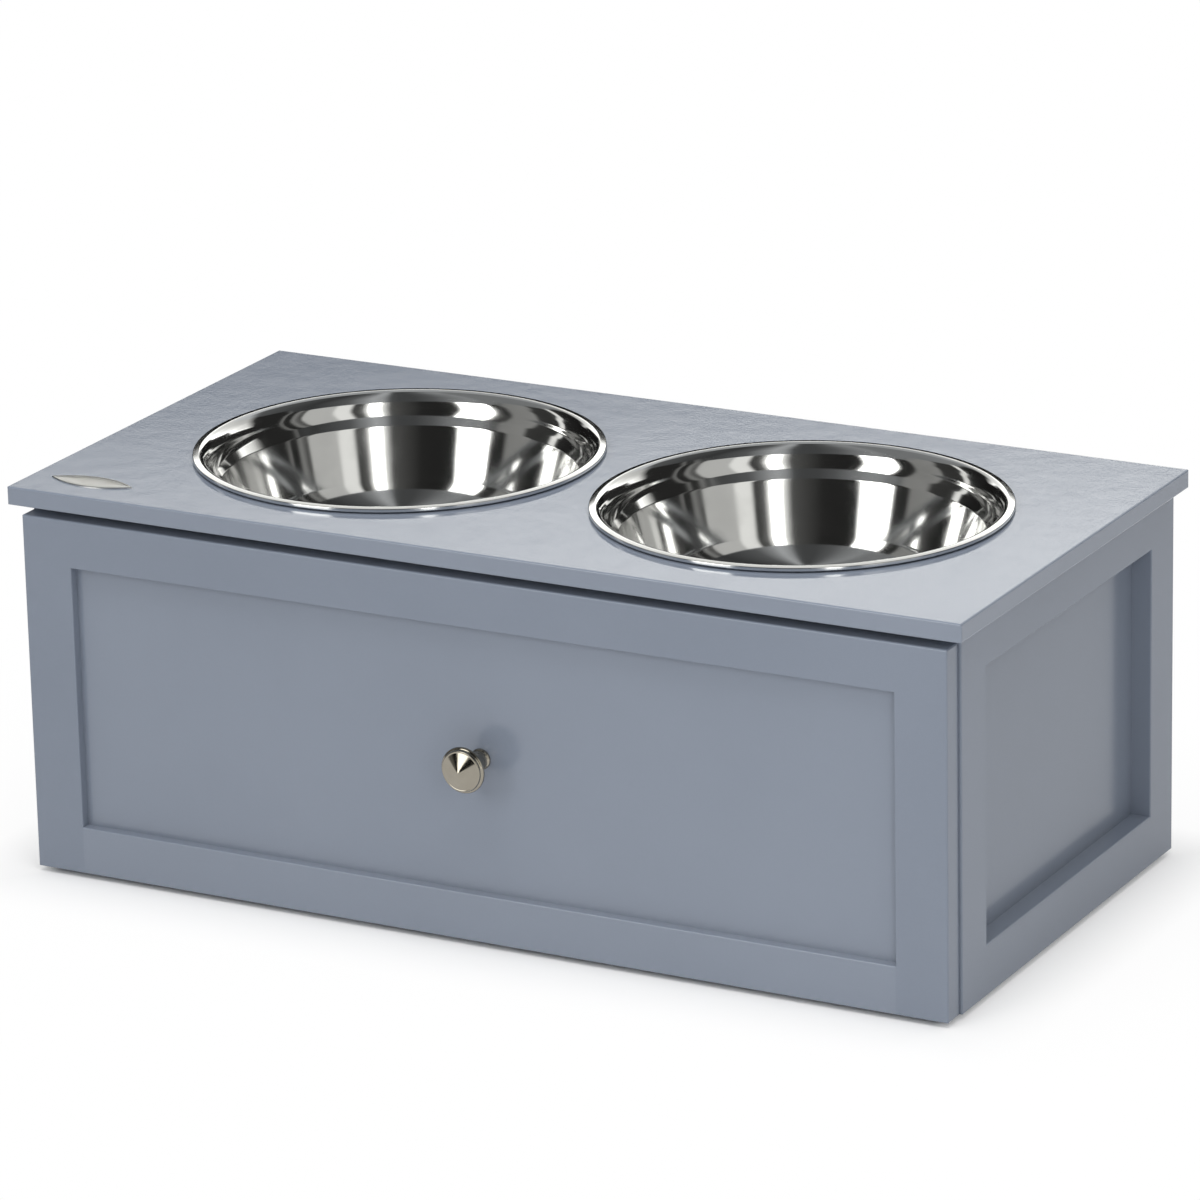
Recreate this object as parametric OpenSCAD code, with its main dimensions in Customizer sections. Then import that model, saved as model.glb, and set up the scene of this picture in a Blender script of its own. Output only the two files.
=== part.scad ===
// Raised pet feeding station: a low painted cabinet with a full-width drawer under
// two lift-out steel bowls. Millimetres, +Z up, front towards -Y.
// The origin is on the floor, under the middle of the whole object.

/* [Top board] */
// Length of the board along its front edge
board_w = 600; // [590:5:680]
// Depth of the board from front to back
board_d = 305; // [300:5:360]
// Thickness of the board
board_t = 11; // [10:0.5:16]
// Rounding of the painted edges
edge_r = 1; // [0.5:0.1:1.4]

/* [Cabinet] */
// Height of the side walls under the board
side_h = 218.5; // [210:0.5:260]
// How far the board stands out past each side wall
side_overhang = 7.3; // [3:0.1:9]
// How far the board stands out past the back
back_overhang = 4; // [1:0.5:8]
// Width of the upright members of a side frame
stile_w = 31.5; // [28:0.5:45]
// Width of the upper member of a side frame
top_rail_w = 28; // [24:0.5:40]
// Width of the lower member of a side frame
bottom_rail_w = 30; // [26:0.5:40]
// Thickness of the side frames
frame_t = 12; // [11:0.5:15]
// Thickness of the panels that close the side frames
infill_t = 6; // [5:0.5:9]
// Thickness of the base, the back and the front stretcher
stock_t = 12; // [11.5:0.5:15]
// Height of the stretcher across the front
stretcher_h = 35; // [32:1:45]
// Width of the battens that hold the top board
cleat_w = 12; // [10:0.5:14]
// Height of the battens that hold the top board
cleat_h = 18; // [14:1:20]
// Break on the edges of the side openings
arris = 0.6; // [0.3:0.1:1]

/* [Foot pads] */
// Diameter of a foot pad
pad_d = 18; // [12:1:24]
// Thickness of a foot pad
pad_t = 3; // [2:0.5:5]
// Distance of a pad's middle from the walls
pad_inset = 45; // [40:1:60]

/* [Drawer front] */
// How far each end stays inside the cabinet's side face
front_side_gap = 1.6; // [1:0.1:6]
// Gap between the drawer front and the board above
front_top_gap = 4.9; // [2:0.1:8]
// Thickness of the drawer front
front_t = 14.5; // [13:0.5:18]
// How far the face lies behind the edge of the board
front_setback = 0.5; // [0:0.1:4]
// Gap between the closed drawer front and the cabinet
closing_gap = 0.3; // [0.2:0.1:1]
// Width of the uprights of the drawer front
front_stile_w = 31.5; // [24:0.5:40]
// Width of the cross members of the drawer front
front_rail_w = 28.3; // [24:0.1:40]
// Depth of the panel behind the face
recess_d = 6; // [4:0.5:6.5]

/* [Drawer box] */
// Space between the drawer box and the bowls above it
bowl_room_below = 11; // [8:1:30]
// Space behind the closed drawer box
box_back_gap = 19; // [12:1:40]
// Thickness of the drawer box boards
box_t = 12; // [11:0.5:13]
// Thickness of the drawer bottom
bottom_t = 4; // [3:0.5:5]
// Depth of the grooves that hold the drawer bottom
groove_d = 5; // [4:0.5:6]
// Height of the grooves above the lower edge
groove_up = 9; // [7:0.5:12]
// Space between the base and the drawer box
box_lift = 6; // [5.5:0.5:7]

/* [Runners] */
// Room for a runner on each side of the drawer box
runner_gap = 12.5; // [12:0.1:13.5]
// Thickness of the runner steel
steel_t = 1; // [0.8:0.1:1.2]
// Height of the cabinet runner
runner_h = 22; // [21:0.5:24]
// Diameter of a roller
roller_d = 17; // [16:0.2:17.4]
// Width of a roller
roller_w = 5.6; // [5:0.2:6]
// Diameter of a roller's rivet
rivet_d = 5; // [4:0.5:6]

/* [Bowls] */
// Share of the free width inside the cabinet that lies between the two rims
middle_share = 0.28; // [0.2:0.01:0.34]
// How far the pair of bowls lies to the right
pair_shift = 1.8; // [0:0.2:4]
// How far the bowls lie in front of the board's middle
bowl_forward = 2; // [0:0.2:5]
// Radius of a bowl over its rim
rim_r = 119.5; // [112:0.5:121]
// Radius of the rolled bead at the rim
bead_r = 1.6; // [1.4:0.1:2.6]
// Depth of a bowl below its rim
bowl_depth = 72; // [55:1:76]
// Thickness of the bowl steel
sheet_t = 1; // [0.8:0.1:1.4]
// Depth of the upper band below the rim
band_h = 12.5; // [10:0.5:20]
// Width of the ledge under the band
ledge_w = 4.2; // [3:0.2:6]
// Radius of the flat bottom of a bowl
foot_r = 66; // [55:1:75]
// Radius between the bottom and the wall of a bowl
corner_r = 30; // [20:1:32]
// Space round a bowl in its hole
hole_play = 1.3; // [0.8:0.1:2]

/* [Knob] */
// Diameter of the knob
knob_d = 27; // [22:0.5:32]
// Length of the knob from panel to tip
knob_len = 27; // [22:0.5:30]
// Height of the knob above the bottom of the drawer front
knob_up = 107.5; // [90:0.5:120]
// How far the knob lies to the right of the middle
knob_shift = 2; // [0:0.5:5]

/* [Badge] */
// Length of the blank plate
badge_l = 54; // [30:1:60]
// Width of the blank plate
badge_w = 18; // [10:0.5:20]
// Thickness of the blank plate
badge_t = 1; // [0.6:0.1:1.5]
// Distance of the plate's middle from the left edge
badge_from_left = 41; // [35:1:60]
// Distance of the plate's middle from the front edge
badge_from_front = 26; // [16:0.5:30]

/* [Hidden] */

paint = "#868e98";
top_paint = "#b0b4c0";
raw_inside = "#c9c6bf";
steel = "#c9ccd0";
zinc = "#b8bcc2";
nylon = "#f0f0ee";
birch = "#d9c29a";
felt = "#2c2e31";

// A cutter runs this far past the face that it opens
over = 1;
// Room round dowels, screws and cam parts in their holes
fit = 0.1;

// Front to back, from the knob's tip to the back of the board
knob_out = knob_len - recess_d - front_setback;
y_board_front = (knob_out - board_d) / 2;
y_board_back = y_board_front + board_d;
y_face = y_board_front + front_setback;
y_face_back = y_face + front_t;
y_cab_front = y_face_back + closing_gap;
y_cab_back = y_board_back - back_overhang;
y_back_in = y_cab_back - stock_t;

// Side to side
x_out = board_w / 2 - side_overhang;
x_frame_in = x_out - frame_t;
x_in = x_frame_in - infill_t;

// Bottom to top
z_cab = pad_t;
z_base_top = z_cab + stock_t;
z_under_board = z_cab + side_h;
z_top = z_under_board + board_t;
z_stretcher = z_under_board - stretcher_h;

// Screws with flat heads
screw_d = 3.5;
screw_head_d = 7;
screw_head_h = 2;
// Length, width and depth of each cross recess
screw_recess = [4, 0.8, 1];
cam_recess = [8, 1.2, 1.5];
knob_screw_recess = [4.4, 1, 1.2];

// Cam fittings: a bolt in one board is caught by a disc in the next
cam_reach = 24;
cam_d = 15;
cam_h = 9.5;
cam_bolt_d = 5;
cam_neck_d = 4;
cam_head_d = 6.6;
cam_head_back = 1;
cam_head_front = 2;
cam_sink = 11;
dowel_d = 6;
dowel_l = 24;

// Where the boards across the cabinet meet the walls
base_cam_inset = 60;
back_cam_up = 55;
back_cam_down = 45;
stretcher_cam_up = 22;
stretcher_dowel_up = 8;
z_base_mid = z_cab + stock_t / 2;
y_back_mid = y_cab_back - stock_t / 2;
y_stretcher_mid = y_cab_front + stock_t / 2;
base_cam_y = [y_cab_front + base_cam_inset, y_cab_back - base_cam_inset];
back_cam_z = [z_cab + back_cam_up, z_under_board - back_cam_down];
stretcher_cam_z = z_stretcher + stretcher_cam_up;
stretcher_dowel_z = z_stretcher + stretcher_dowel_up;

// Battens under the top board and their screws, which stay clear of the bowls' widest part
cleat_end_gap = 3;
cleat_screw_at = [0.07, 0.21, 0.86];
cleat_y = [y_cab_front + stock_t + cleat_end_gap, y_back_in - cleat_end_gap];
cleat_screw_y = [for (k = cleat_screw_at) cleat_y[0] + k * (cleat_y[1] - cleat_y[0])];
cleat_screw_step = 9;
rail_bite = 4;
board_bite = 7;
wall_screw_l = cleat_w + infill_t + rail_bite;
board_screw_l = cleat_h + board_bite;

// Dowels of the side frames, near the outer face to stay clear of the bolts
frame_dowel_in = 4;
frame_dowel_down = 12;
frame_dowel_x = x_out - frame_dowel_in;
frame_dowel_z = [z_cab + bottom_rail_w - frame_dowel_down, z_under_board - top_rail_w / 2];

// Drawer front
z_front = z_cab;
front_w = 2 * (x_out - front_side_gap);
front_h = side_h - front_top_gap;
z_front_mid = z_front + front_h / 2;
opening_w = front_w - 2 * front_stile_w;
opening_h = front_h - 2 * front_rail_w;
front_arris_r = 0.8;
panel_lap = 7;
panel_w = opening_w + 2 * panel_lap;
panel_h = opening_h + 2 * panel_lap;
panel_t = front_t - recess_d;

// Bowls
seat_gap = 0.3;
lip_r = 2;
rim_flat = 3.6;
wall_lean = 4.8;
ledge_drop = 6.5;
z_rim = z_top + seat_gap + 2 * bead_r;
wall_r = rim_r - 2 * bead_r - rim_flat;
hole_r = wall_r + sheet_t + hole_play;
bowl_y = (y_board_front + y_board_back) / 2 - bowl_forward;
bowl_spacing = 2 * rim_r + middle_share * (2 * x_in - 4 * rim_r);
bowl_x = [pair_shift - bowl_spacing / 2, pair_shift + bowl_spacing / 2];

// Drawer box
x_box = x_in - runner_gap;
x_box_in = x_box - box_t;
z_box = z_base_top + box_lift;
z_box_top = z_rim - bowl_depth - sheet_t - bowl_room_below;
y_box_back = y_back_in - box_back_gap;
y_box_back_in = y_box_back - box_t;
groove_play = 0.3;
bore_floor = 2.5;
front_bite = panel_t - bore_floor;
dowel_bite = front_bite - 1;
box_cam_up = 35;
box_screw_up = 32;
box_joint_down = 25;
box_cam_z = [z_box + box_cam_up, z_box_top - box_joint_down];
box_dowel_z = (z_box + z_box_top) / 2;
box_screw_z = [z_box + box_screw_up, z_box_top - box_joint_down];
box_screw_l = 34;

// Runners. The drawer's flange rides over the front roller, and the rear roller
// rides in the cabinet's channel.
run_gap = 0.3;
flange_gap = 0.8;
runner_up = 2;
runner_front_gap = 3;
runner_back_gap = 2;
z_runner = z_base_top + runner_up;
y_runner = y_cab_front + runner_front_gap;
y_runner_back = y_box_back - runner_back_gap;
runner_len = y_runner_back - y_runner;
runner_lip = 10;
z_flange = z_runner + runner_h - 2 * steel_t - flange_gap;
z_front_roller = z_flange - run_gap - roller_d / 2;
z_rear_roller = z_runner + steel_t + run_gap + roller_d / 2;
front_roller_inset = 12;
rear_roller_inset = 14;
front_roller_space = 2.4;
rear_roller_space = 0.9;
roller_room = 2;
y_front_roller = y_runner + front_roller_inset;
y_rear_roller = y_runner_back - rear_roller_inset;
x_front_roller = x_in - steel_t - front_roller_space;
x_rear_roller = x_box + steel_t + rear_roller_space;
roller_fit = 0.06;
roller_rim = 1.5;
roller_hub = 2.5;
roller_dish = 0.6;
rivet_head_d = rivet_d + 2;
rivet_head_t = 0.8;
runner_screw_at = [0.18, 0.48, 0.78];
runner_screw_up = 7;
runner_screw_y = [for (k = runner_screw_at) y_runner + k * runner_len];
z_runner_screw = z_runner + runner_screw_up;
runner_screw_l = 12;
drawer_runner_screw_l = groove_up + 1;

// Knob
z_knob = z_front + knob_up;
y_knob = y_face + recess_d;
knob_screw_d = 4;
knob_screw_head_d = 8;
knob_screw_head_h = 2.4;
knob_screw_bite = 9;

// A block between two opposite corners
module block(a, b) {
  translate(a) cube(b - a);
}

// A rectangle with round corners, from its lower left corner
module round_rect(w, h, r) {
  translate([r, 0]) square([w - 2 * r, h]);
  translate([0, r]) square([w, h - 2 * r]);
  for (x = [r, w - r], y = [r, h - r])
    translate([x, y]) circle(r, $fn = 32);
}

// A slab between two opposite corners with all its edges rounded
module soft_slab(a, b, r) {
  s = b - a;
  translate(a) intersection() {
    linear_extrude(s[2]) round_rect(s[0], s[1], r);
    translate([0, s[1], 0]) rotate([90, 0, 0]) linear_extrude(s[1]) round_rect(s[0], s[2], r);
    rotate([90, 0, 90]) linear_extrude(s[0]) round_rect(s[1], s[2], r);
  }
}

// A rod along X between two places on that axis
module rod_x(x0, x1, d) {
  translate([x0, 0, 0]) rotate([0, 90, 0]) cylinder(h = x1 - x0, d = d, $fn = 32);
}

// The right side as drawn, the left side mirrored
module on_side(side) {
  mirror([side == "left" ? 1 : 0, 0, 0]) children();
}

module on_both_sides() {
  for (side = ["left", "right"]) on_side(side) children();
}

// The cutter of a cross recess, from the face of a head at z = 0
module cross_recess(size) {
  for (a = [0, 90])
    rotate([0, 0, a]) translate([-size[0] / 2, -size[1] / 2, -over]) cube(size + [0, 0, over]);
}

// A screw along +Z with a flat head and a cross recess, its face at z = 0
module flat_screw(len) {
  difference() {
    union() {
      cylinder(h = screw_head_h, d1 = screw_head_d, d2 = screw_d, $fn = 32);
      translate([0, 0, screw_head_h / 2])
        cylinder(h = len - screw_head_h / 2 - screw_d / 2, d = screw_d, $fn = 32);
      translate([0, 0, len - screw_d / 2])
        cylinder(h = screw_d / 2, d1 = screw_d, d2 = screw_d / 3, $fn = 32);
    }
    cross_recess(screw_recess);
  }
}

module flat_screw_hole(len) {
  cylinder(h = screw_head_h, d1 = screw_head_d + 2 * fit, d2 = screw_d + 2 * fit, $fn = 32);
  translate([0, 0, -over]) cylinder(h = over, d = screw_head_d + 2 * fit, $fn = 32);
  cylinder(h = len + fit, d = screw_d + 2 * fit, $fn = 32);
}

// A joint runs along X from the edge of one board, at x < 0, into another, at x > 0
module dowel(bite = dowel_l / 2, room = 0) {
  rod_x(bite - dowel_l - room, bite + room, dowel_d + 2 * room);
}

module cam_bolt(sink) {
  rod_x(0, sink, cam_bolt_d);
  rod_x(cam_head_front - cam_reach, 0, cam_neck_d);
  rod_x(-cam_reach - cam_head_back, cam_head_front - cam_reach, cam_head_d);
}

module cam_bolt_hole(sink) {
  rod_x(-over, sink + fit, cam_bolt_d + 2 * fit);
}

// The disc's slotted face is level with the board's face, on the -Z side
module cam_disc(t) {
  translate([-cam_reach, 0, -t / 2]) difference() {
    cylinder(h = cam_h, d = cam_d, $fn = 48);
    translate([0, 0, t / 2]) rod_x(-cam_head_back - 3, cam_d, cam_head_d + 4 * fit);
    rotate([0, 0, 45]) cross_recess(cam_recess);
  }
}

module cam_room(t) {
  translate([-cam_reach, 0, -t / 2 - over])
    cylinder(h = cam_h + over + fit, d = cam_d + 2 * fit, $fn = 48);
  rod_x(-cam_reach, over, cam_head_d + 2 * fit);
}

// The joints of the cabinet's right side; a disc opens down, or into the cabinet
module at_base_cams() {
  for (y = base_cam_y) translate([x_in, y, z_base_mid]) children();
}

module at_back_cams() {
  for (z = back_cam_z) translate([x_in, y_back_mid, z]) rotate([-90, 0, 0]) children();
}

module at_stretcher_cam() {
  translate([x_in, y_stretcher_mid, stretcher_cam_z]) rotate([90, 0, 0]) children();
}

module at_cams() {
  at_base_cams() children();
  at_back_cams() children();
  at_stretcher_cam() children();
}

module at_panel_dowels() {
  translate([x_in, (y_cab_front + y_cab_back) / 2, z_base_mid]) children();
  translate([x_in, y_back_mid, (z_cab + z_under_board) / 2]) children();
  translate([x_in, y_stretcher_mid, stretcher_dowel_z]) children();
}

module at_frame_dowels() {
  for (y = [y_cab_front + stile_w, y_cab_back - stile_w], z = frame_dowel_z)
    translate([frame_dowel_x, y, z]) rotate([0, 0, 90]) children();
}

// Screws of the battens: across into the wall, and up into the board
module at_wall_screws() {
  for (y = cleat_screw_y)
    translate([x_in - cleat_w, y, z_under_board - cleat_h / 2]) rotate([0, 90, 0]) children();
}

module at_board_screws() {
  for (y = cleat_screw_y)
    translate([x_in - cleat_w / 2, y + cleat_screw_step, z_under_board - cleat_h]) children();
}

// Screws of the runners: into the wall, and up into the side of the drawer
module at_runner_screws() {
  for (y = runner_screw_y)
    translate([x_in - steel_t - screw_head_h / 2, y, z_runner_screw]) rotate([0, 90, 0]) children();
}

module at_drawer_runner_screws() {
  for (y = runner_screw_y)
    translate([x_box - box_t / 2, y, z_box - steel_t - screw_head_h / 2]) children();
}

// Everything that is bored into a side wall from inside the cabinet
module wall_bores() {
  at_cams() cam_bolt_hole(cam_sink);
  at_panel_dowels() dowel(room = fit);
  at_wall_screws() flat_screw_hole(wall_screw_l);
  at_runner_screws() flat_screw_hole(runner_screw_l);
}

// The room that the bowls need, from a height upwards
module bowl_holes(z, h) {
  for (x = bowl_x) translate([x, bowl_y, z - over]) cylinder(h = h + 2 * over, r = hole_r, $fn = 96);
}

// Top
module top_board() {
  color(top_paint) difference() {
    soft_slab([-board_w / 2, y_board_front, z_under_board], [board_w / 2, y_board_back, z_top], edge_r);
    bowl_holes(z_under_board, board_t);
    on_both_sides() at_board_screws() flat_screw_hole(board_screw_l);
  }
}

// A pointed oval, the overlap of two circles
module pointed_oval(l, w) {
  r = (l * l + w * w) / (4 * w);
  intersection() {
    translate([0, r - w / 2]) circle(r, $fn = 96);
    translate([0, w / 2 - r]) circle(r, $fn = 96);
  }
}

module badge_plate() {
  field_t = badge_t * 0.4;
  margin = 2;
  color(steel) translate([badge_from_left - board_w / 2, y_board_front + badge_from_front, z_top]) {
    linear_extrude(badge_t - field_t) pointed_oval(badge_l, badge_w);
    linear_extrude(badge_t) pointed_oval(badge_l - 3 * margin, badge_w - margin);
  }
}

// The opening of a side frame in one direction: X is outwards
module flared_slot(a, b) {
  polygon([
    [x_frame_in - over, a], [x_out - arris, a], [x_out + over, a - arris - over],
    [x_out + over, b + arris + over], [x_out - arris, b], [x_frame_in - over, b]]);
}

// A whole side frame, later cut into its four members
module side_frame() {
  y0 = y_cab_front + stile_w;
  y1 = y_cab_back - stile_w;
  z0 = z_cab + bottom_rail_w;
  z1 = z_under_board - top_rail_w;
  difference() {
    intersection() {
      block([x_frame_in, y_cab_front, z_cab], [x_out, y_cab_back, z_under_board]);
      soft_slab([x_in, y_cab_front, z_cab], [x_out, y_cab_back, z_under_board], edge_r);
    }
    intersection() {
      linear_extrude(z_top) flared_slot(y0, y1);
      translate([0, y1 + stile_w, 0]) rotate([90, 0, 0])
        linear_extrude(y1 - y0 + 2 * stile_w) flared_slot(z0, z1);
    }
    wall_bores();
    at_frame_dowels() dowel(room = fit);
  }
}

module frame_member(side, y0, y1, z0, z1) {
  color(paint) on_side(side) intersection() {
    side_frame();
    block([x_frame_in - over, y0, z0], [x_out + over, y1, z1]);
  }
}

module front_stile(side) {
  frame_member(side, y_cab_front - over, y_cab_front + stile_w, 0, z_top);
}

module back_stile(side) {
  frame_member(side, y_cab_back - stile_w, y_cab_back + over, 0, z_top);
}

module top_rail(side) {
  frame_member(side, y_cab_front + stile_w, y_cab_back - stile_w, z_top / 2, z_top);
}

module bottom_rail(side) {
  frame_member(side, y_cab_front + stile_w, y_cab_back - stile_w, 0, z_top / 2);
}

module side_panel(side) {
  color(paint) on_side(side) difference() {
    block([x_in, y_cab_front, z_cab], [x_frame_in, y_cab_back, z_under_board]);
    wall_bores();
  }
}

module side_frame_dowels() {
  color(birch) on_both_sides() at_frame_dowels() dowel();
}

// Boards across the cabinet
module base_panel() {
  color(paint) difference() {
    block([-x_in, y_cab_front, z_cab], [x_in, y_cab_back, z_base_top]);
    on_both_sides() {
      at_base_cams() cam_room(stock_t);
      at_panel_dowels() dowel(room = fit);
    }
  }
}

module back_panel() {
  color(paint) difference() {
    block([-x_in, y_back_in, z_base_top], [x_in, y_cab_back, z_under_board]);
    on_both_sides() {
      at_back_cams() cam_room(stock_t);
      at_panel_dowels() dowel(room = fit);
    }
  }
}

module front_stretcher() {
  color(paint) difference() {
    block([-x_in, y_cab_front, z_stretcher], [x_in, y_cab_front + stock_t, z_under_board]);
    on_both_sides() {
      at_stretcher_cam() cam_room(stock_t);
      at_panel_dowels() dowel(room = fit);
    }
  }
}

// A batten is hollowed where a bowl would come near it
module top_cleat(side) {
  color(paint) difference() {
    on_side(side) difference() {
      block([x_in - cleat_w, cleat_y[0], z_under_board - cleat_h], [x_in, cleat_y[1], z_under_board]);
      at_wall_screws() flat_screw_hole(wall_screw_l);
      at_board_screws() flat_screw_hole(board_screw_l);
    }
    bowl_holes(z_under_board - cleat_h, cleat_h);
  }
}

// Fasteners and pads of the cabinet
module cleat_screws() {
  color(zinc) on_both_sides() at_wall_screws() flat_screw(wall_screw_l);
}

module board_screws() {
  color(zinc) on_both_sides() at_board_screws() flat_screw(board_screw_l);
}

module cam_bolts() {
  color(zinc) on_both_sides() at_cams() cam_bolt(cam_sink);
}

module cam_discs() {
  color(zinc) on_both_sides() at_cams() cam_disc(stock_t);
}

module panel_dowels() {
  color(birch) on_both_sides() at_panel_dowels() dowel();
}

module foot_pads() {
  color(felt) on_both_sides() for (y = [y_cab_front + pad_inset, y_cab_back - pad_inset])
    translate([x_in - pad_inset, y, 0]) cylinder(h = pad_t, d = pad_d, $fn = 48);
}

// A rivet that carries a roller, from its collar's inner end
module rivet(collar) {
  seat = collar + roller_w + 4 * roller_fit;
  rod_x(0, collar, rivet_head_d);
  rod_x(0, seat + rivet_head_t, rivet_d);
  rod_x(seat, seat + rivet_head_t, rivet_head_d);
}

module roller() {
  difference() {
    rod_x(0, roller_w, roller_d);
    rod_x(-over, roller_w + over, rivet_d + 2 * roller_fit);
    difference() {
      rod_x(-over, roller_dish, roller_d - 2 * roller_rim);
      rod_x(-2 * over, over, rivet_d + 2 * roller_hub);
    }
  }
}

// The cabinet's channel is open towards the drawer
module cabinet_runner(side) {
  collar = x_in - steel_t / 2 - x_front_roller - 2 * roller_fit;
  color(zinc) on_side(side) difference() {
    union() {
      block([x_in - steel_t, y_runner, z_runner], [x_in, y_runner_back, z_runner + runner_h]);
      block([x_in - runner_lip, y_front_roller + roller_d / 2 + roller_room, z_runner],
            [x_in, y_runner_back, z_runner + steel_t]);
      block([x_in - runner_lip, y_runner, z_runner + runner_h - steel_t],
            [x_in, y_runner_back, z_runner + runner_h]);
      translate([x_in - steel_t / 2, y_front_roller, z_front_roller])
        mirror([1, 0, 0]) rivet(collar);
    }
    at_runner_screws() flat_screw_hole(runner_screw_l);
  }
}

module cabinet_runner_screws() {
  color(zinc) on_both_sides() at_runner_screws() flat_screw(runner_screw_l);
}

module front_roller(side) {
  color(nylon) on_side(side)
    translate([x_front_roller - roller_w, y_front_roller, z_front_roller]) roller();
}

// The drawer's runner: a foot under the side, a web beside it and a flange on top
module drawer_runner(side) {
  x_web = x_box + steel_t;
  collar = x_rear_roller - x_box - steel_t / 2 - 2 * roller_fit;
  color(zinc) on_side(side) difference() {
    union() {
      block([x_box, y_runner, z_box - steel_t], [x_web, y_runner_back, z_flange + steel_t]);
      block([x_box_in, y_runner, z_box - steel_t], [x_web, y_runner_back, z_box]);
      block([x_box, y_runner, z_flange],
            [x_front_roller, y_rear_roller - roller_d / 2 - roller_room, z_flange + steel_t]);
      translate([x_box + steel_t / 2, y_rear_roller, z_rear_roller]) rivet(collar);
    }
    at_drawer_runner_screws() flat_screw_hole(drawer_runner_screw_l);
  }
}

module drawer_runner_screws() {
  color(zinc) on_both_sides() at_drawer_runner_screws() flat_screw(drawer_runner_screw_l);
}

module rear_roller(side) {
  color(nylon) on_side(side)
    translate([x_rear_roller, y_rear_roller, z_rear_roller]) roller();
}

// Drawer front. The opening in one direction, with Y as the depth and its front edges rounded
module front_slot(w) {
  r = front_arris_r;
  translate([-w / 2, -over]) square([w, front_t + 2 * over]);
  for (s = [0, 1]) mirror([s, 0]) difference() {
    translate([w / 2 - over, -over]) square([over + r, over + r]);
    translate([w / 2 + r, r]) circle(r, $fn = 32);
  }
}

// Stands a plan of the front up, at a depth behind its face
module behind_face(depth, t) {
  translate([0, y_face + depth + t, z_front_mid]) rotate([90, 0, 0]) linear_extrude(t) children();
}

module front_frame() {
  difference() {
    soft_slab([-front_w / 2, y_face, z_front], [front_w / 2, y_face_back, z_front + front_h], edge_r);
    intersection() {
      translate([0, y_face, z_front]) linear_extrude(front_h) front_slot(opening_w);
      translate([-front_w / 2, y_face, z_front_mid]) rotate([90, 0, 90])
        linear_extrude(front_w) rotate([0, 0, 90]) mirror([0, 1, 0]) front_slot(opening_h);
    }
    behind_face(recess_d, front_t) square([panel_w + 2 * fit, panel_h + 2 * fit], center = true);
    at_front_dowels() dowel(room = fit);
    front_bores();
  }
}

// The plans of an upright and of a cross member between the uprights
module front_stile_plan() {
  translate([opening_w / 2, -front_h / 2]) square([front_stile_w, front_h]);
}

module front_rail_plan() {
  translate([-opening_w / 2, opening_h / 2]) square([opening_w, front_rail_w]);
}

module drawer_front_stile(side) {
  color(paint) intersection() {
    front_frame();
    on_side(side) behind_face(-over, front_t + 2 * over) front_stile_plan();
  }
}

module drawer_front_rail(flip) {
  color(paint) intersection() {
    front_frame();
    behind_face(-over, front_t + 2 * over) mirror([0, flip]) front_rail_plan();
  }
}

module drawer_front_panel() {
  color(paint) difference() {
    behind_face(recess_d, panel_t) square([panel_w, panel_h], center = true);
    front_bores();
  }
}

// Dowels between the uprights and the cross members
module at_front_dowels() {
  on_both_sides() for (s = [-1, 1])
    translate([opening_w / 2, y_face + front_t / 2 + 1, z_front_mid + s * (front_h - front_rail_w) / 2])
      children();
}

module drawer_front_dowels() {
  color(birch) at_front_dowels() dowel();
}

// Joints between the drawer's side and its front; the disc opens into the drawer
module at_box_cams() {
  for (z = box_cam_z)
    translate([x_box - box_t / 2, y_face_back, z]) rotate([-90, 0, 0]) rotate([0, 90, 0]) children();
}

module at_box_dowel() {
  translate([x_box - box_t / 2, y_face_back, box_dowel_z]) rotate([0, 0, -90]) children();
}

module at_box_screws() {
  for (z = box_screw_z)
    translate([x_box, y_box_back - box_t / 2, z]) rotate([0, -90, 0]) children();
}

module bottom_groove() {
  x = x_box_in + groove_d;
  z = z_box + groove_up;
  block([-x, y_face_back - groove_d, z], [x, y_box_back_in + groove_d, z + bottom_t + groove_play]);
}

// Everything that is cut into the back of the drawer front
module front_bores() {
  bottom_groove();
  on_both_sides() {
    at_box_cams() cam_bolt_hole(front_bite);
    at_box_dowel() dowel(dowel_bite, fit);
  }
  at_knob() translate([0, 0, -panel_t - over])
    cylinder(h = panel_t + 2 * over, d = knob_screw_d + 2 * fit, $fn = 32);
}

module drawer_side(side) {
  color(raw_inside) on_side(side) difference() {
    block([x_box_in, y_face_back, z_box], [x_box, y_box_back, z_box_top]);
    bottom_groove();
    at_box_cams() cam_room(box_t);
    at_box_dowel() dowel(dowel_bite, fit);
    at_box_screws() flat_screw_hole(box_screw_l);
    at_drawer_runner_screws() flat_screw_hole(drawer_runner_screw_l);
  }
}

module drawer_back() {
  color(raw_inside) difference() {
    block([-x_box_in, y_box_back_in, z_box], [x_box_in, y_box_back, z_box_top]);
    bottom_groove();
    on_both_sides() at_box_screws() flat_screw_hole(box_screw_l);
  }
}

module drawer_bottom() {
  x = x_box_in + groove_d - groove_play;
  z = z_box + groove_up;
  color(raw_inside)
    block([-x, y_face_back - groove_d + groove_play, z],
          [x, y_box_back_in + groove_d - groove_play, z + bottom_t]);
}

module drawer_cam_bolts() {
  color(zinc) on_both_sides() at_box_cams() cam_bolt(front_bite);
}

module drawer_cam_discs() {
  color(zinc) on_both_sides() at_box_cams() cam_disc(box_t);
}

module drawer_side_dowels() {
  color(birch) on_both_sides() at_box_dowel() dowel(dowel_bite);
}

module drawer_back_screws() {
  color(zinc) on_both_sides() at_box_screws() flat_screw(box_screw_l);
}

// Knob, along +Z from the panel
module at_knob() {
  translate([knob_shift, y_knob, z_knob]) rotate([90, 0, 0]) children();
}

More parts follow.
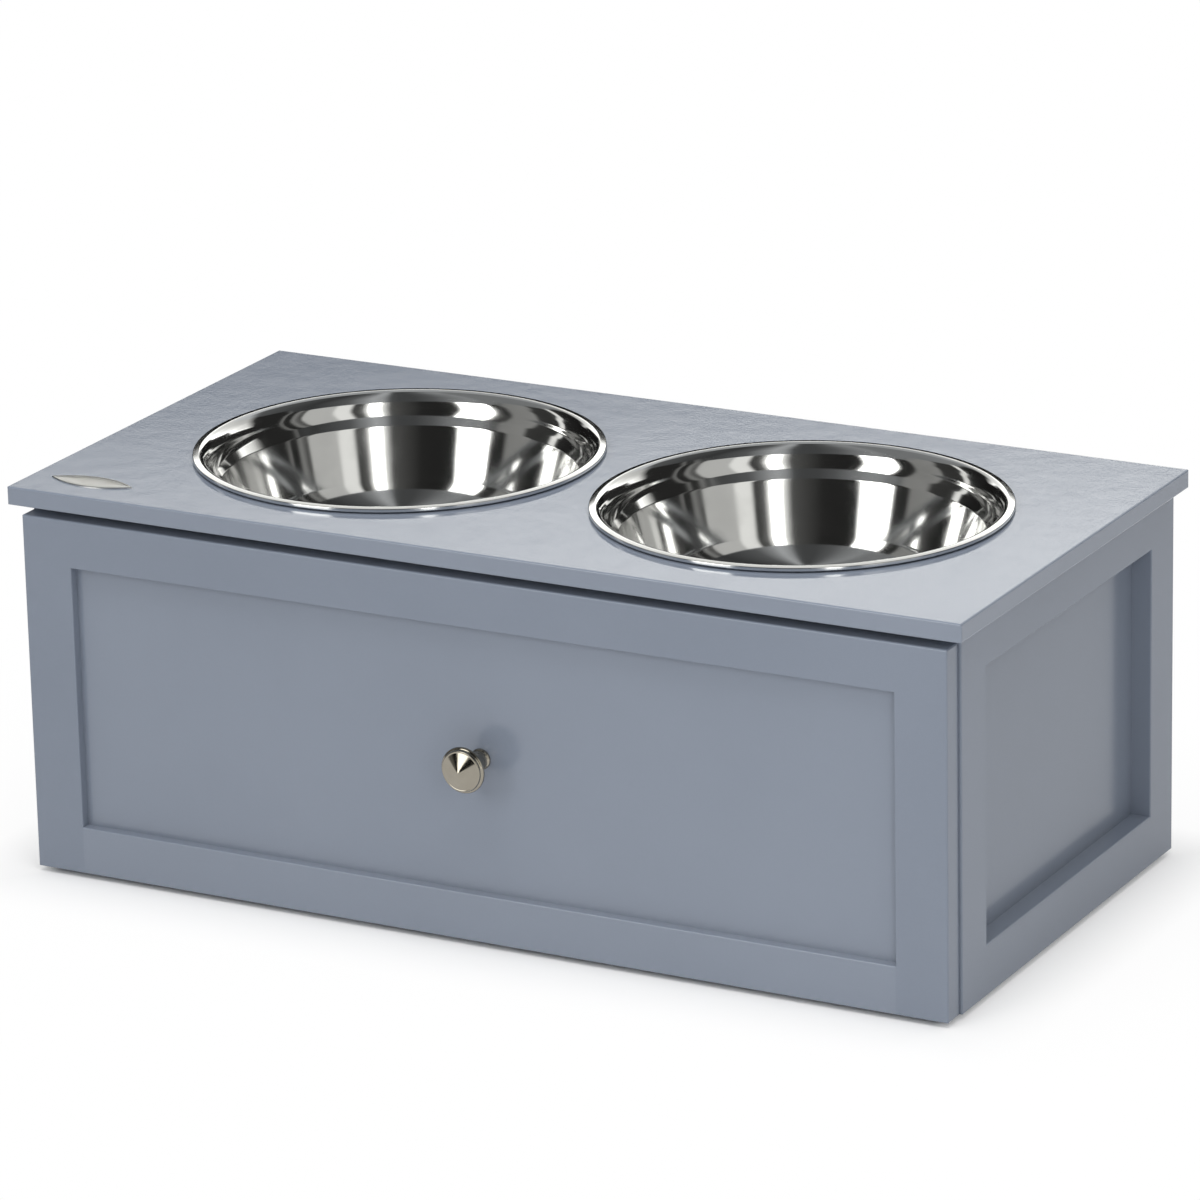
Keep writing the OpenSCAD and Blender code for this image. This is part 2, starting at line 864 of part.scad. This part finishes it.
module knob() {
  r = knob_d / 2;
  rim = 2.2;
  rim_back = 4.4;
  step = 1.2;
  foot = 7;
  neck = 4.6;
  neck_up = 3;
  neck_back = 9.5;
  bulge = 5.6;
  z_rim_mid = knob_len - rim_back;
  z_neck = knob_len - neck_back;
  color(steel) at_knob() difference() {
    rotate_extrude($fn = 64) {
      polygon([
        [0, 0], [foot, 0], [foot, step], [neck, neck_up], [bulge, (z_neck + neck_up) / 2],
        [neck, z_neck], [r - rim, z_rim_mid - rim], [r - rim, z_rim_mid],
        [r - 2 * rim, z_rim_mid + step], [0, knob_len]]);
      translate([r - rim, z_rim_mid]) circle(rim, $fn = 32);
    }
    translate([0, 0, -over])
      cylinder(h = knob_screw_bite + over + 1, d = knob_screw_d + 2 * fit, $fn = 32);
  }
}

module knob_screw() {
  color(zinc) at_knob() translate([0, 0, -panel_t]) {
    cylinder(h = panel_t + knob_screw_bite, d = knob_screw_d, $fn = 32);
    translate([0, 0, -knob_screw_head_h]) difference() {
      cylinder(h = knob_screw_head_h, d = knob_screw_head_d, $fn = 32);
      cross_recess(knob_screw_recess);
    }
  }
}

// Bowls. A corner of the section, moved out by g from walls that face along a and b
function outward(a) = [cos(a), sin(a)];
function grown(p, a, b, g) = p + g / cos((a - b) / 2) * outward((a + b) / 2);

// Half of the room in a bowl, grown by g, with the rim's top at zero
module bowl_room(g) {
  band_end = [wall_r - wall_lean, -band_h];
  ledge_end = band_end - [ledge_w, ledge_drop];
  c = [foot_r, corner_r - bowl_depth];
  away = ledge_end - c;
  band_a = -atan(wall_lean / (band_h - lip_r));
  ledge_a = -atan(ledge_w / ledge_drop);
  wall_a = atan2(away[1], away[0]) - acos(corner_r / norm(away));
  polygon([
    [0, -lip_r], [wall_r + g, -lip_r], grown(band_end, band_a, ledge_a, g),
    grown(ledge_end, ledge_a, wall_a, g), c + (corner_r + g) * outward(wall_a),
    [foot_r, -bowl_depth - g], [0, -bowl_depth - g]]);
  translate(c) circle(corner_r + g, $fn = 96);
}

module rim_section() {
  bend = [wall_r + lip_r, -lip_r];
  intersection() {
    translate(bend) difference() {
      circle(lip_r, $fn = 32);
      circle(lip_r - sheet_t, $fn = 32);
    }
    translate([wall_r, -lip_r]) square(lip_r);
  }
  translate([bend[0], -sheet_t]) square([rim_r - bead_r - bend[0], sheet_t]);
  translate([rim_r - bead_r, -bead_r]) circle(bead_r, $fn = 32);
}

module bowl(i) {
  color(steel) translate([bowl_x[i], bowl_y, z_rim]) {
    difference() {
      rotate_extrude($fn = 96) bowl_room(sheet_t);
      rotate_extrude($fn = 96) bowl_room(0);
    }
    rotate_extrude($fn = 96) rim_section();
  }
}

top_board();
badge_plate();
front_stile("left");  // left_front_stile
front_stile("right");  // right_front_stile
back_stile("left");  // left_back_stile
back_stile("right");  // right_back_stile
top_rail("left");  // left_top_rail
top_rail("right");  // right_top_rail
bottom_rail("left");  // left_bottom_rail
bottom_rail("right");  // right_bottom_rail
side_panel("left");  // left_side_panel
side_panel("right");  // right_side_panel
side_frame_dowels();
base_panel();
back_panel();
front_stretcher();
top_cleat("left");  // left_top_cleat
top_cleat("right");  // right_top_cleat
cleat_screws();
board_screws();
cam_bolts();
cam_discs();
panel_dowels();
foot_pads();
cabinet_runner("left");  // left_cabinet_runner
cabinet_runner("right");  // right_cabinet_runner
cabinet_runner_screws();
front_roller("left");  // left_front_roller
front_roller("right");  // right_front_roller
drawer_front_stile("left");  // drawer_front_left_stile
drawer_front_stile("right");  // drawer_front_right_stile
drawer_front_rail(0);  // drawer_front_top_rail
drawer_front_rail(1);  // drawer_front_bottom_rail
drawer_front_panel();
drawer_front_dowels();
drawer_side("left");  // drawer_left_side
drawer_side("right");  // drawer_right_side
drawer_back();
drawer_bottom();
drawer_cam_bolts();
drawer_cam_discs();
drawer_side_dowels();
drawer_back_screws();
knob();
knob_screw();
drawer_runner("left");  // left_drawer_runner
drawer_runner("right");  // right_drawer_runner
drawer_runner_screws();
rear_roller("left");  // left_rear_roller
rear_roller("right");  // right_rear_roller
bowl(0);  // left_bowl
bowl(1);  // right_bowl
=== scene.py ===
# A raised feeding station: a painted cabinet with one wide drawer under two lift-out
# steel bowls. Metres, front towards -Y, in the same frame as its solids.
import math

import bmesh
import bpy
from mathutils import Matrix, Quaternion, Vector


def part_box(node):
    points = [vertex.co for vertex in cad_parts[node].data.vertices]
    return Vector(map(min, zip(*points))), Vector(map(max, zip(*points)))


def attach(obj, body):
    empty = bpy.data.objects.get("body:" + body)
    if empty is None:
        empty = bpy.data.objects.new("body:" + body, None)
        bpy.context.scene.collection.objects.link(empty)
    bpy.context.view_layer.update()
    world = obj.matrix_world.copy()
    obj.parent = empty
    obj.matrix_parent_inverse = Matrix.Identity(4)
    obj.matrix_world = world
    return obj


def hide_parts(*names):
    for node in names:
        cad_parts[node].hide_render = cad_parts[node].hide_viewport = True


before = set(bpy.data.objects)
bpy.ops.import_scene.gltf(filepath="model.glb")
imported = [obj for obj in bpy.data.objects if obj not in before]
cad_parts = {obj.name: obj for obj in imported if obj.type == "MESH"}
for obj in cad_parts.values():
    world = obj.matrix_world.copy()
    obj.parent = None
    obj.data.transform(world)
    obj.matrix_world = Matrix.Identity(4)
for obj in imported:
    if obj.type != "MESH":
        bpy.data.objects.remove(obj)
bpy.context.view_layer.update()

MM = 0.001
SEAM = 0.00001      # points that are closer than this become one


# Shader maths

class Wire:
    """An output of a shader node. Arithmetic on it adds Math nodes."""

    def __init__(self, finish, socket):
        self.finish, self.socket = finish, socket

    def __add__(self, other):
        return self.finish.math("ADD", self, other)

    def __sub__(self, other):
        return self.finish.math("SUBTRACT", self, other)

    def __rsub__(self, other):
        return self.finish.math("SUBTRACT", other, self)

    def __mul__(self, other):
        return self.finish.math("MULTIPLY", self, other)

    def __abs__(self):
        return self.finish.math("ABSOLUTE", self)

    __radd__ = __add__
    __rmul__ = __mul__


def grey(level):
    return (level, level, level, 1)


def set_stops(ramp, stops):
    """Gives a colour ramp its stops of place and level."""
    for at, _ in stops[len(ramp.elements):]:
        ramp.elements.new(at)
    for element, (at, level) in zip(ramp.elements, stops):
        element.position, element.color = at, grey(level)


class Finish:
    """The nodes of a material, or of the world, under construction."""

    def __init__(self, name, owners=bpy.data.materials):
        self.owner = owners.new(name)
        self.owner.use_nodes = True
        self.tree = self.owner.node_tree
        self.tree.nodes.clear()
        self.place = self.node("ShaderNodeTexCoord", out="Object")

    def node(self, kind, settings=None, sockets=None, out=0):
        """Adds a node: first its settings, a ramp's stops among them, then its sockets."""
        made = self.tree.nodes.new(kind)
        for name, value in (settings or {}).items():
            if name == "stops":
                set_stops(made.color_ramp, value)
            else:
                setattr(made, name, value)
        for name, value in (sockets or {}).items():
            if isinstance(value, Wire):
                self.tree.links.new(value.socket, made.inputs[name])
            else:
                made.inputs[name].default_value = value
        return Wire(self, made.outputs[out]) if made.outputs else None

    def math(self, operation, *values):
        return self.node("ShaderNodeMath", {"operation": operation}, dict(enumerate(values)))

    def split(self, vector):
        """The x, y and z of a vector."""
        return (self.node("ShaderNodeSeparateXYZ", sockets={0: vector}, out=axis) for axis in "XYZ")

    def noise(self, scale, detail=2.0, stretch=(1, 1, 1), rough=0.5):
        """Cloudy noise with scale clouds to the metre, drawn out where stretch is under 1."""
        place = self.node("ShaderNodeMapping", sockets={"Vector": self.place, "Scale": stretch})
        return self.node("ShaderNodeTexNoise", sockets={
            "Vector": place, "Scale": scale, "Detail": detail, "Roughness": rough})

    def ramp(self, value, *stops):
        return self.node("ShaderNodeValToRGB", {"stops": stops}, {0: value})

    def blend(self, share, a, b):
        """Colour a where the share is 0 and colour b where it is 1."""
        factor, colour_a, colour_b, result = 0, 6, 7, 2     # the node's sockets for colours
        return self.node("ShaderNodeMix", {"data_type": "RGBA"},
                         {factor: share, colour_a: a, colour_b: b}, result)

    def relief(self, height, depth, strength=1.0, under=None):
        """Bumps with a depth in millimetres, added to those that lie under them."""
        sockets = {"Height": height, "Distance": depth * MM, "Strength": strength}
        if under:
            sockets["Normal"] = under
        return self.node("ShaderNodeBump", sockets=sockets)

    def surface(self, **values):
        """Closes the material with a Principled surface. Its sockets have _ for a space."""
        sockets = {name.replace("_", " "): value for name, value in values.items()}
        return self.close(self.node("ShaderNodeBsdfPrincipled", sockets=sockets))

    def close(self, shader, output="ShaderNodeOutputMaterial"):
        self.node(output, sockets={"Surface": shader})
        return self.owner


def srgb(code):
    """A colour as a screen shows it, in the renderer's own numbers."""
    parts = (int(code[i:i + 2], 16) / 255 for i in (0, 2, 4))
    return tuple(c / 12.92 if c <= 0.04045 else ((c + 0.055) / 1.055) ** 2.4 for c in parts) + (1,)


# Finishes

SPREAD = ((0.35, 0), (0.65, 1))     # stops that spread cloudy noise over 0 to 1
PATCHES = ((0.5, 0), (0.8, 1))      # stops that leave only its highest patches


def lacquer(name, colour, shade, rough, peel, refraction=1.5):
    """Sprayed semi-gloss paint: a slow drift of tone, a fine orange peel, faint rubbing."""
    f = Finish(name)
    drift = f.noise(7, detail=3)
    grain = f.noise(900)
    tone = f.ramp(drift * 0.8 + grain * 0.2, *SPREAD)
    rubbed = f.ramp(f.noise(38, detail=4, stretch=(1, 0.3, 1), rough=0.65), *PATCHES)
    orange_peel = f.relief(f.noise(620), depth=0.1, strength=peel)
    flow = f.relief(f.noise(60, detail=1), depth=0.5, strength=peel * 0.3, under=orange_peel)
    return f.surface(
        Base_Color=f.blend(tone, srgb(shade), srgb(colour)),
        Roughness=rough + 0.05 * drift + 0.03 * rubbed,
        Normal=flow, IOR=refraction)


def polished_steel():
    """Pressed steel with a mirror polish, faint smears and fine polishing lines."""
    f = Finish("polished_steel")
    smear = f.ramp(f.noise(45, detail=3), (0.45, 0), (0.75, 1))
    lines = f.noise(260, stretch=(1, 1, 6))
    return f.surface(
        Base_Color=f.blend(smear, (0.82, 0.82, 0.81, 1), (0.76, 0.76, 0.75, 1)),
        Metallic=1.0, Roughness=0.06 + 0.05 * smear + 0.03 * lines,
        Normal=f.relief(f.noise(28, detail=1), depth=0.4, strength=0.1))


def satin_nickel(name, colour, shade, rough):
    """Plated metal with a cloudy tone and fine turning lines."""
    f = Finish(name)
    cloud = f.noise(120, detail=3)
    lines = f.noise(900, stretch=(1, 8, 1))
    return f.surface(
        Base_Color=f.blend(cloud, srgb(colour), srgb(shade)),
        Metallic=1.0, Roughness=rough + 0.08 * cloud + 0.06 * lines,
        Normal=f.relief(lines, depth=0.04, strength=0.3))


def bright_zinc():
    """Zinc plate with its small spangles, on the runners, screws and cam fittings."""
    f = Finish("bright_zinc")
    spangle = f.node("ShaderNodeTexVoronoi", sockets={"Vector": f.place, "Scale": 160.0},
                     out="Color")
    cloud = f.noise(90, detail=3)
    return f.surface(
        Base_Color=f.blend(cloud, srgb("a9adb2"), srgb("c4c7c9")),
        Metallic=1.0, Roughness=0.26 + 0.16 * cloud,
        Normal=f.relief(spangle, depth=0.08, strength=0.25))


def runner_nylon():
    """The moulded rollers."""
    f = Finish("runner_nylon")
    cloud = f.noise(300, detail=3)
    return f.surface(
        Base_Color=f.blend(cloud, srgb("dedcd5"), srgb("ebeae6")),
        Roughness=0.38 + 0.12 * cloud,
        Normal=f.relief(f.noise(1500), depth=0.05, strength=0.4), IOR=1.53)


def birch_dowel():
    """Bare birch with a drawn-out grain."""
    f = Finish("birch_dowel")
    grain = f.noise(180, detail=4, stretch=(0.15, 1, 1))
    return f.surface(
        Base_Color=f.blend(grain, srgb("bf9f6c"), srgb("dcc49a")),
        Roughness=0.62 + 0.15 * grain, Normal=f.relief(grain, depth=0.2, strength=0.5))


def drawer_foil():
    """The pale foil on the boards of the drawer box, with its printed linen grain."""
    f = Finish("drawer_foil")
    warp = f.noise(700, stretch=(1, 0.12, 0.12))
    weft = f.noise(700, stretch=(0.12, 0.12, 1))
    cloud = f.noise(14, detail=3)
    grain = f.ramp(warp * 0.5 + weft * 0.5, *SPREAD)
    return f.surface(
        Base_Color=f.blend(grain * 0.6 + cloud * 0.4, srgb("bdbab3"), srgb("cfccc6")),
        Roughness=0.46 + 0.12 * grain, Normal=f.relief(grain, depth=0.06, strength=0.5))


def foot_rubber():
    """The dark foot pads, a little dusty."""
    f = Finish("foot_rubber")
    dust = f.ramp(f.noise(220, detail=4), *PATCHES)
    return f.surface(
        Base_Color=f.blend(dust, srgb("26282b"), srgb("4a4b4d")),
        Roughness=0.7 + 0.2 * dust,
        Normal=f.relief(f.noise(1200, detail=3), depth=0.2, strength=0.6))


board_paint = lacquer("board_paint", "7d8592", "7a828f", rough=0.08, peel=0.4)
# The cabinet's copy of the grey paint is a shade darker than the board's and the panel's: painted
# shade on the stiles, top rail and sides.
cabinet_paint = lacquer("cabinet_paint", "7a828f", "777f8c", rough=0.16, peel=0.3, refraction=1.4)
# The drawer front's panel and bottom rail get a lighter copy of the same paint: painted light,
# against which the stiles and top rail read darker.
lit_panel_paint = lacquer("lit_panel_paint", "7d8592", "7a828f", rough=0.14, peel=0.25)
bowl_steel = polished_steel()
knob_nickel = satin_nickel("knob_nickel", "938d81", "a19c91", rough=0.03)
badge_nickel = satin_nickel("badge_nickel", "e2e2e0", "d6d4cf", rough=0.24)

# The solids that stay as they are, by the ends of their names. All others have the cabinet's copy
# of the grey paint, a shade darker as painted shade.
SOLID_FINISHES = (
    ("top_board", board_paint),
    (("drawer_front_panel", "drawer_front_bottom_rail"), lit_panel_paint),
    (("drawer_left_side", "drawer_right_side", "drawer_back", "drawer_bottom"), drawer_foil()),
    ("_dowels", birch_dowel()),
    ("foot_pads", foot_rubber()),
    ("_roller", runner_nylon()),
    (("_screws", "_screw", "cam_bolts", "cam_discs", "_runner"), bright_zinc()),
)


def paint_solids():
    for name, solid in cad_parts.items():
        matches = (finish for ends, finish in SOLID_FINISHES if name.endswith(ends))
        solid.data.materials.clear()
        solid.data.materials.append(next(matches, cabinet_paint))


# Objects

def add_object(name, data):
    made = bpy.data.objects.new(name, data)
    bpy.context.scene.collection.objects.link(made)
    return made


def add_mesh(name, mesh, material):
    """Makes a finished bmesh an object with one material."""
    data = bpy.data.meshes.new(name)
    mesh.to_mesh(data)
    mesh.free()
    data.materials.append(material)
    return add_object(name, data)


def piece(name, mesh, finish, body, node):
    """Makes a finished bmesh a piece that rides on a body and stands for one of its solids."""
    made = add_mesh(name, mesh, finish)
    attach(made, body)
    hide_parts(node)


# Shapes

# Sections of the turned pieces, from the outside to the axis: radius, height and length of the
# corner's rounding, in millimetres. The bowl's heights count from the top of its rim.
BOWL_SECTION = (
    (116.5, -2.7, 0), (119.5, -2.7, 0.8), (119.5, -0.5, 0.4), (114.6, 0, 1.6),  # rim
    (111.9, -2.7, 1.1), (109.2, -7, 2.2), (107.9, -12.6, 2.4),      # band
    (103.8, -19.1, 0.4), (88.4, -72, 22.6), (0, -72, 0))        # ledge, wall and bottom
BOWL_STEEL = 1      # thickness of the sheet, in millimetres
BOWL_STEPS = 160

# The knob's heights count from the face that it stands on.
KNOB_SECTION = (
    (2.1, 0, 0), (6.2, 0, 0.5), (6.2, 1.2, 0.5),        # foot
    (4.6, 3, 1.2), (5.5, 10.2, 2), (4.6, 16.6, 1.8),    # neck
    (10.2, 19.6, 1.4), (13.5, 19.8, 0.8), (13.5, 21.6, 0.8), (12.3, 22.1, 0.4),     # disc
    (11.7, 23.5, 0.4), (10.9, 23.3, 0.2),       # front ring
    (1, 26.7, 0.8), (0, 26.9, 0))       # cone
KNOB_STEPS = 96

# The badge's rings from its foot to its middle: steps inwards and up, in millimetres
BADGE_RINGS = (
    (0, 0.55), (0.35, 0.3), (0.8, 0.05), (0.4, -0.25), (1.2, 0.1), (1.6, 0.12), (2, 0.08))
BADGE_STEPS = 288


def whole(mesh):
    return mesh.verts[:] + mesh.edges[:] + mesh.faces[:]


def move(mesh, x, y, z):
    bmesh.ops.translate(mesh, vec=(x, y, z), verts=mesh.verts[:])


def section(points):
    """An open line through the points of a section, with its corners rounded."""
    mesh = bmesh.new()
    row = [mesh.verts.new((radius * MM, 0, height * MM)) for radius, height, _ in points]
    for a, b in zip(row, row[1:]):
        mesh.edges.new((a, b))
    for vert, (_, _, rounding) in zip(row, points):
        if rounding:
            bmesh.ops.bevel(mesh, geom=[vert], offset=rounding * MM, offset_type="OFFSET",
                            segments=12, profile=0.5, affect="VERTICES", material=-1)
    return mesh


def turned(mesh, steps):
    """Spins a section round Z, closes its seam and poles and makes it smooth."""
    bmesh.ops.spin(mesh, geom=whole(mesh), cent=(0, 0, 0), axis=(0, 0, 1), dvec=(0, 0, 0),
                   angle=2 * math.pi, steps=steps, use_merge=True, use_duplicate=False)
    bmesh.ops.remove_doubles(mesh, verts=mesh.verts[:], dist=SEAM)
    bmesh.ops.recalc_face_normals(mesh, faces=mesh.faces[:])
    for face in mesh.faces:
        face.smooth = True
    return mesh


def feeding_bowl(side):
    """A pressed bowl with a rolled rim that hangs in the board's hole."""
    bowl = side + "_bowl"
    low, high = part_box(bowl)
    mesh = turned(section(BOWL_SECTION), BOWL_STEPS)
    bmesh.ops.solidify(mesh, geom=mesh.faces[:], thickness=BOWL_STEEL * MM)
    move(mesh, (low.x + high.x) / 2, (low.y + high.y) / 2, high.z)
    piece(side + "_feeding_bowl", mesh, bowl_steel, bowl, bowl)


def drawer_knob():
    """A turned knob with a pointed face, turned over to stand out from the drawer front."""
    low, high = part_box("knob")
    mesh = turned(section(KNOB_SECTION), KNOB_STEPS)
    bmesh.ops.rotate(mesh, cent=(0, 0, 0), matrix=Matrix.Rotation(math.radians(90), 3, "X"),
                     verts=mesh.verts[:])
    move(mesh, (low.x + high.x) / 2, high.y, (low.z + high.z) / 2)
    piece("turned_knob", mesh, knob_nickel, "drawer", "knob")


def blank_badge():
    """A pointed oval plate with a raised rim round a blank, slightly domed field."""
    low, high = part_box("badge_plate")
    half_l, half_w = (high.x - low.x) / 2, (high.y - low.y) / 2
    radius = (half_l ** 2 + half_w ** 2) / (2 * half_w)

    # The oval is what lies between two equal arcs: half of it is cut from a disc, then mirrored.
    mesh = bmesh.new()
    bmesh.ops.create_circle(mesh, cap_ends=True, segments=BADGE_STEPS, radius=radius)
    move(mesh, 0, radius - half_w, 0)
    bmesh.ops.bisect_plane(mesh, geom=whole(mesh), dist=SEAM, plane_co=(0, 0, 0),
                           plane_no=(0, 1, 0), clear_outer=True)
    bmesh.ops.mirror(mesh, geom=whole(mesh), merge_dist=SEAM, axis="Y")
    bmesh.ops.recalc_face_normals(mesh, faces=mesh.faces[:])
    bmesh.ops.dissolve_limit(mesh, angle_limit=0.001, verts=mesh.verts[:], edges=mesh.edges[:])

    field = mesh.faces[:]
    for inwards, rise in BADGE_RINGS:
        made = bmesh.ops.extrude_face_region(mesh, geom=field)["geom"]
        bmesh.ops.delete(mesh, geom=field, context="FACES_ONLY")
        field = [part for part in made if isinstance(part, bmesh.types.BMFace)]
        edge = list({vert for face in field for vert in face.verts})
        along, across = (max(getattr(vert.co, axis) for vert in edge) for axis in ("x", "y"))
        # The points of the oval draw in twice as far as its sides, so that its rim stays even.
        shrink = (1 - 2 * inwards * MM / along, 1 - inwards * MM / across, 1)
        bmesh.ops.scale(mesh, vec=shrink, verts=edge)
        bmesh.ops.translate(mesh, vec=(0, 0, rise * MM), verts=edge)
    bmesh.ops.recalc_face_normals(mesh, faces=mesh.faces[:])
    move(mesh, (low.x + high.x) / 2, (low.y + high.y) / 2, low.z)
    piece("blank_badge", mesh, badge_nickel, "cabinet", "badge_plate")


# Studio. A turn is in degrees from the front towards the right, and a lift in degrees from level.

def direction(turn, lift):
    """The way out from the object at a turn and a lift."""
    turn, lift = math.radians(turn), math.radians(lift)
    reach = math.cos(lift)
    return Vector((math.sin(turn) * reach, -math.cos(turn) * reach, math.sin(lift)))


def face_inwards(thing, centre, turn, lift, distance, roll=0):
    """Places a camera or a lamp out from a centre, and turns it to look there."""
    out = direction(turn, lift)
    rolled = Quaternion((0, 0, 1), math.radians(roll))
    thing.rotation_mode = "QUATERNION"
    thing.rotation_quaternion = (-out).to_track_quat("-Z", "Y") @ rolled
    thing.location = Vector(centre) + distance * out


def photo_camera():
    """The photograph's viewing angle and perspective."""
    lens = bpy.data.cameras.new("camera")
    lens.sensor_width, lens.lens, lens.clip_end = 36, 200.96, 100
    camera = add_object("camera", lens)
    face_inwards(camera, (0.0060217, 0, 0.1631617), turn=28.3742, lift=18.2691,
                 distance=3.8225049, roll=-1.2486)
    bpy.context.scene.camera = camera


def softbox(name, turn, lift, distance, width, height, watts):
    """A lamp that lights the object. Reflections show the room's own panels in place of it."""
    data = bpy.data.lights.new(name, "AREA")
    data.shape, data.size, data.size_y, data.energy = "RECTANGLE", width, height, watts
    lamp = add_object(name, data)
    face_inwards(lamp, (0, 0, 0.2), turn, lift, distance)
    lamp.visible_glossy = False


def seen_directly(f):
    """1 to the camera, in a reflection and through glass, 0 to the light that falls on things."""
    seen, *others = (f.node("ShaderNodeLightPath", out=kind)
                     for kind in ("Is Camera Ray", "Is Glossy Ray", "Is Transmission Ray"))
    for other in others:
        seen = f.math("MAXIMUM", seen, other)
    return seen


def pale_world():
    """White where it is seen, and a soft light from all sides on everything else."""
    soft_light = 0.4
    f = Finish("world", bpy.data.worlds)
    strength = seen_directly(f) * (1 - soft_light) + soft_light
    background = f.node("ShaderNodeBackground", sockets={"Color": grey(1), "Strength": strength})
    bpy.context.scene.world = f.close(background, "ShaderNodeOutputWorld")


# The floor turns from matt to plain white round the cabinet's foot. The fade gives the share of
# white at distances out from the foot, in metres.
FOOT_HALF_WIDTH, FOOT_HALF_DEPTH = 0.29, 0.15
FLOOR_FADE = ((-0.01, 0), (0.005, 0.4), (0.05, 0.92), (0.225, 1))
FADE_START, FADE_LENGTH = -0.025, 0.25


def pale_floor():
    """Matt close to the object, where its shadow lies, and seen as plain white further off."""
    f = Finish("pale_floor")
    x, y, _ = f.split(f.place)
    away = f.math("MAXIMUM", abs(x) - FOOT_HALF_WIDTH, abs(y) - FOOT_HALF_DEPTH)
    far = f.ramp((away - FADE_START) * (1 / FADE_LENGTH),
                 *(((metres - FADE_START) / FADE_LENGTH, share) for metres, share in FLOOR_FADE))
    tone = f.blend(f.noise(3), grey(0.88), grey(0.9))
    matt = f.node("ShaderNodeBsdfPrincipled", sockets={"Base Color": tone, "Roughness": 0.8})
    white = f.node("ShaderNodeEmission", sockets={"Strength": 1.0})
    mixed = f.node("ShaderNodeMixShader", sockets={0: far * seen_directly(f), 1: matt, 2: white})
    mesh = bmesh.new()
    bmesh.ops.create_grid(mesh, x_segments=1, y_segments=1, size=15)
    add_mesh("floor", mesh, f.close(mixed))


# The lights that polished pieces mirror: the level round the room by turn, on its walls and on its
# ceiling, and the level by lift of the tall light behind the object.
WALL_LEVELS = (
    (-110, 0.01), (-91, 0.02), (-90, 0.9), (-86, 0.9), (-85, 0.03), (-67, 0.04), (-64, 0.25),
    (-46, 0.22), (-43, 0.02), (-34, 0.015), (-33, 1), (-10, 1), (-9, 0.012), (14, 0.02), (34, 0.08),
    (40, 1), (48, 1), (52, 0.1), (58, 0.03), (60, 0.85), (70, 0.85), (71, 0.5), (92, 0.5),
    (93, 0.02), (99, 0.25), (101, 0.02), (106, 0.02), (107, 0.2), (110, 0.02))
CEILING_LEVELS = (
    (-150, 0.3), (-64, 0.19), (-33, 0.19), (-24, 0.26), (-12, 0.2), (2, 0.1), (16, 0.06),
    (28, 0.06), (34, 0.08), (40, 0.34), (47, 0.42), (55, 0.24), (66, 0.1), (93, 0.04), (150, 0.1))
TALL_LIGHT_LEVELS = (
    (18.6, 0), (19.3, 0.87), (20.1, 1), (21, 0.7), (22.5, 0.6), (31, 0.37), (38, 0.32))
TALL_LIGHT, LIGHT_ABOVE = 3.15, 0.35    # their full levels
MAIN_PANEL, MAIN_PANEL_GAIN = 0.95, 4   # a wall's level above which it shines so much brighter
WALL_TOP, CEILING_EDGE = 38, 40         # lifts
WALL_TINT, CEILING_TINT = (1, 1, 0.97, 1), (0.97, 1, 1.02, 1)


def studio_room():
    """The room round the object, with lights on its walls, behind the object and above it. Only
    reflections see it."""
    f = Finish("studio_room")
    towards = f.node("ShaderNodeVectorMath", {"operation": "NORMALIZE"}, {0: f.place}, "Vector")
    x, y, z = f.split(towards)
    turn = f.math("ARCTAN2", x, y * -1) * (0.5 / math.pi) + 0.5     # 0 and 1 behind, 0.5 in front
    lift = f.math("ARCSINE", z) * (2 / math.pi)     # 0 level, 1 straight up

    def round_room(stops):
        return f.ramp(turn, *((0.5 + degrees / 360, level) for degrees, level in stops))

    def up_room(stops):
        return f.ramp(lift, *((degrees / 90, level) for degrees, level in stops))

    def closeness(*place):
        """The cosine of the angle to a place in the room, given by its turn and lift."""
        return f.node("ShaderNodeVectorMath", {"operation": "DOT_PRODUCT"},
                      {0: towards, 1: direction(*place)}, "Value")

    walls = round_room(WALL_LEVELS)
    gain = f.math("GREATER_THAN", walls, MAIN_PANEL) * (MAIN_PANEL_GAIN - 1) + 1
    low = up_room(((WALL_TOP, 1), (CEILING_EDGE, 0)))
    room_level = walls * gain * low + round_room(CEILING_LEVELS) * (1 - low)

    tall = f.ramp(closeness(190, 0), (0.5, 0), (0.6, 0.5), (0.86, 0.72), (0.93, 1))
    above = f.ramp(closeness(208, 65), (0.85, 0), (0.88, 1))
    lights = f.math("MAXIMUM", tall * up_room(TALL_LIGHT_LEVELS) * TALL_LIGHT, above * LIGHT_ABOVE)
    level = room_level * (1 - f.ramp(lights, (0, 0), (0.2, 1))) + lights

    colour = f.node("ShaderNodeVectorMath", {"operation": "SCALE"},
                    {0: f.blend(low, CEILING_TINT, WALL_TINT), "Scale": level}, "Vector")
    glow = f.close(f.node("ShaderNodeEmission", sockets={"Color": colour}))
    mesh = bmesh.new()
    bmesh.ops.create_uvsphere(mesh, u_segments=96, v_segments=48, radius=6)
    room = add_mesh("studio_room", mesh, glow)
    for ray in ("camera", "diffuse", "transmission", "volume_scatter", "shadow"):
        setattr(room, "visible_" + ray, False)


photo_camera()
pale_world()
pale_floor()
studio_room()
softbox("right_softbox", turn=43, lift=18, distance=1.5, width=0.34, height=0.8, watts=3.9)
softbox("left_softbox", turn=-19, lift=26, distance=3.6, width=1.4, height=1.5, watts=28)
softbox("overhead_softbox", turn=20, lift=80, distance=2.4, width=2, height=2, watts=47)

bpy.context.scene.view_settings.view_transform = "Standard"

paint_solids()
for side in ("left", "right"):
    feeding_bowl(side)
drawer_knob()
blank_badge()
